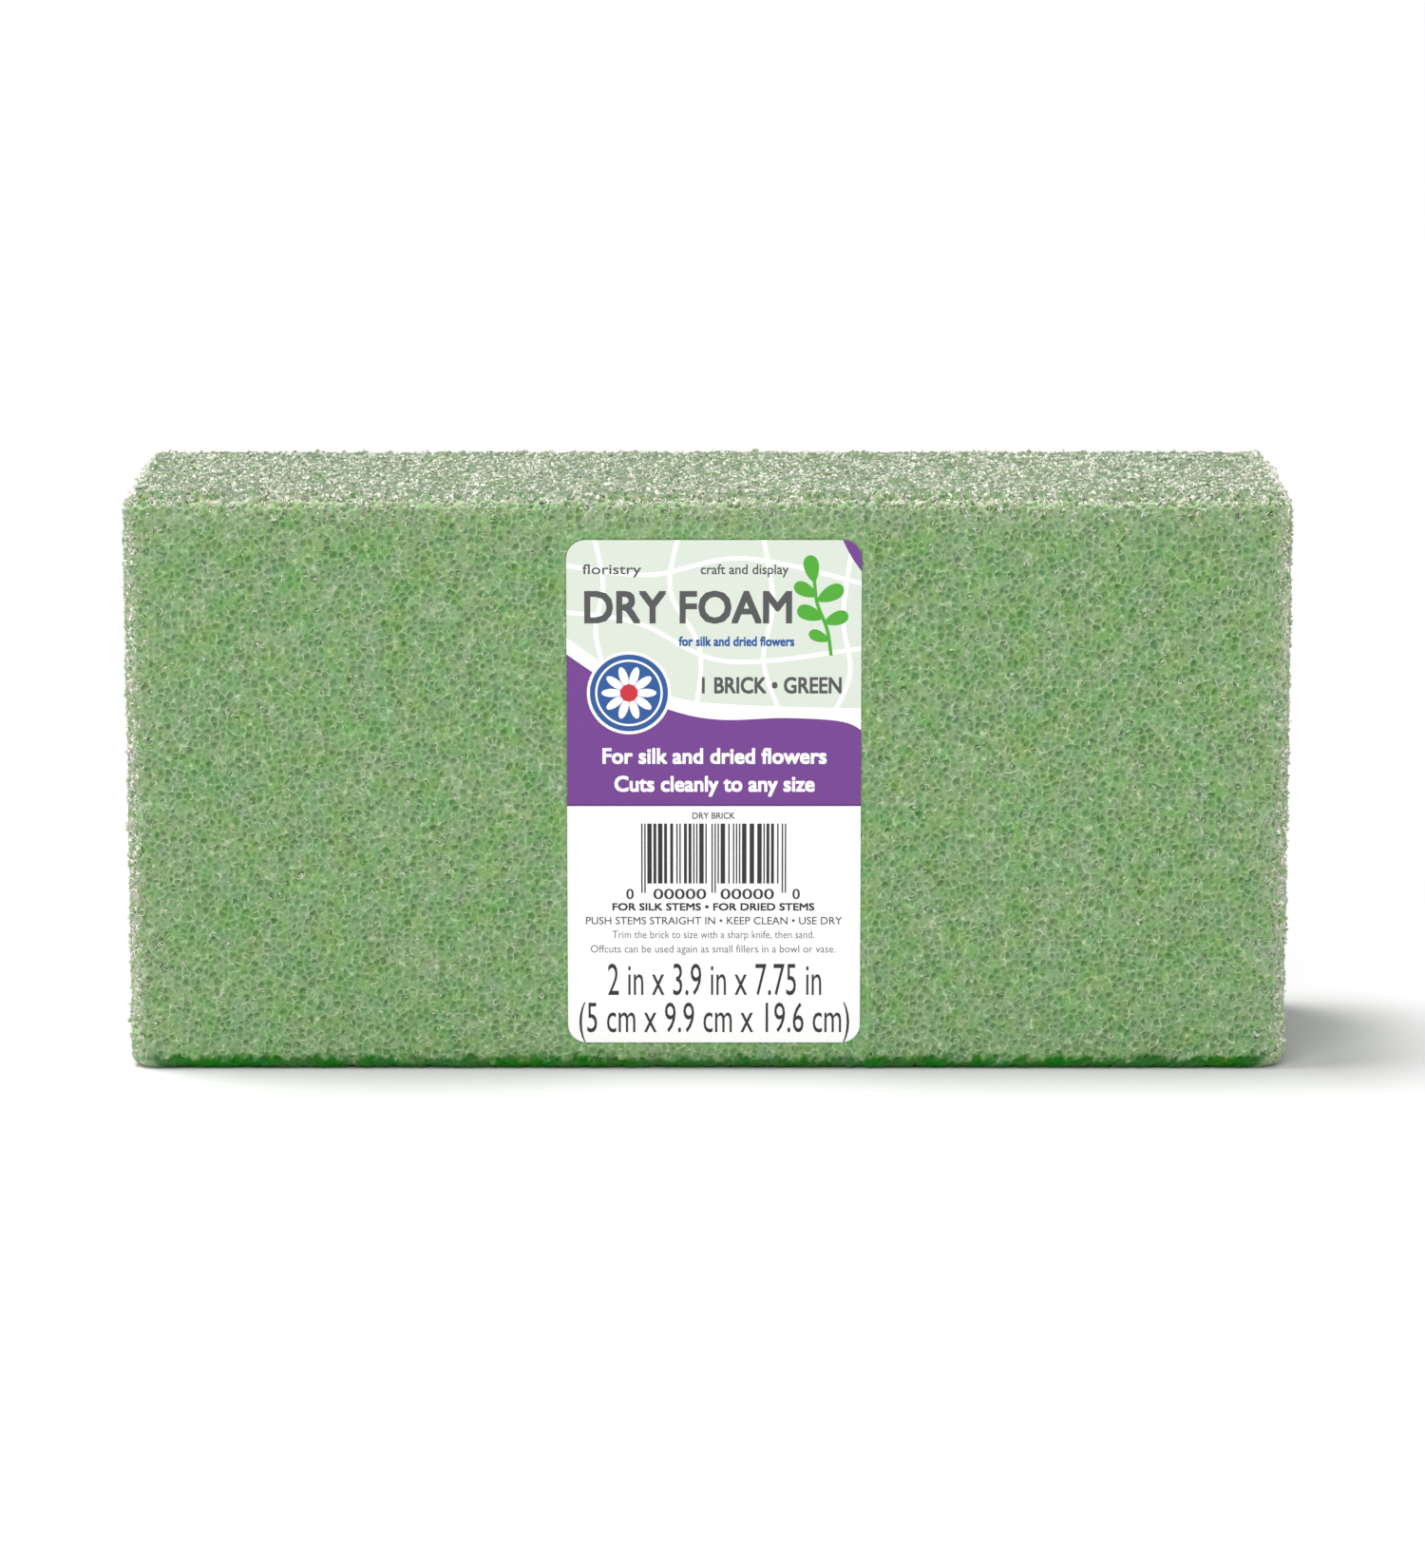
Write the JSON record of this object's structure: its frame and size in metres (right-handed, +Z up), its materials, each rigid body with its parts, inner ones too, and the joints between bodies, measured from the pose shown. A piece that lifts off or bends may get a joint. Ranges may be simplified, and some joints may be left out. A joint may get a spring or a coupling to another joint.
{
  "type": "floral foam brick",
  "caption": "Rectangular green coarse-celled foam brick for dry and silk flower arranging, standing on its long narrow face, with a printed self-adhesive label on the front.",
  "frame": {"origin": "middle of the long narrow face that the brick stands on, the bottom centre of its bounding box", "axes": "+X along the brick's length, to the right seen from the label; +Y through its thickness, away from the label; +Z up its height"},
  "size_m": [0.1968, 0.0513, 0.0991],
  "materials": {
    "polystyrene_foam": "matte",
    "acrylic_adhesive": "satin",
    "label_stock": "satin"
  },
  "bodies": {
    "root": {"foam_block": "polystyrene_foam", "label_adhesive": "acrylic_adhesive", "label_face": "label_stock"}
  },
  "joints": []
}
